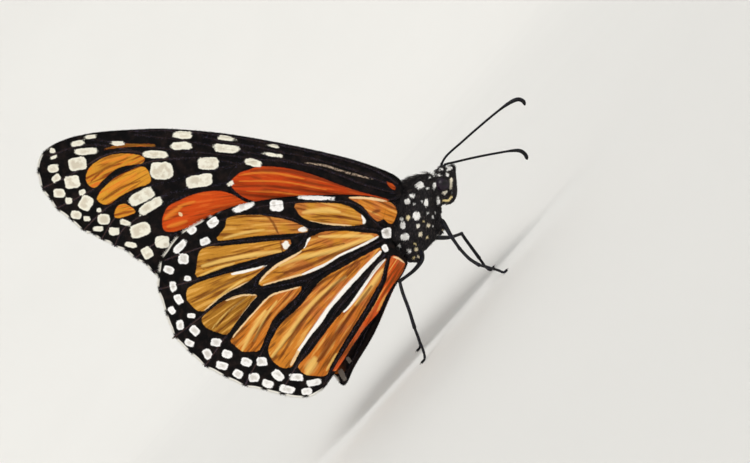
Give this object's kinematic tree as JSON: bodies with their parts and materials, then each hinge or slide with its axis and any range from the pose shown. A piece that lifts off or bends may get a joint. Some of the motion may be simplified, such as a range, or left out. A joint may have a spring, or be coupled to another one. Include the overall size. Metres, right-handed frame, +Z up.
{
  "type": "monarch butterfly",
  "caption": "Life-size butterfly model standing on the floor with its wings closed over its back, long legs and feelers spread; still, with no moving parts.",
  "frame": {"origin": "on the floor, in the middle of the butterfly's length and width", "axes": "+X the way the butterfly faces, +Y its left, +Z up"},
  "size_m": [0.0565, 0.0182, 0.0572],
  "materials": {
    "black_coat": "short black hair and scales with white spots",
    "black_horn": "black horn with a soft blue sheen",
    "eye": "violet-black faceted eye",
    "forewing_scales": "orange scales, black veins and border, cream spots",
    "hindwing_scales": "ochre scales, black veins and border, white spots"
  },
  "bodies": {
    "root": {"head": "black_coat", "thorax": "black_coat", "abdomen": "black_coat", "eye_left": "eye", "eye_right": "eye", "palp_left": "black_coat", "palp_right": "black_coat", "proboscis": "black_horn", "antenna_left": "black_horn", "antenna_right": "black_horn", "forewing_left": "forewing_scales", "forewing_right": "forewing_scales", "hindwing_left": "hindwing_scales", "hindwing_right": "hindwing_scales", "foreleg_left": "black_coat", "foreleg_right": "black_coat", "midleg_left": "black_horn", "midleg_right": "black_horn", "hindleg_left": "black_horn", "hindleg_right": "black_horn"}
  },
  "joints": []
}
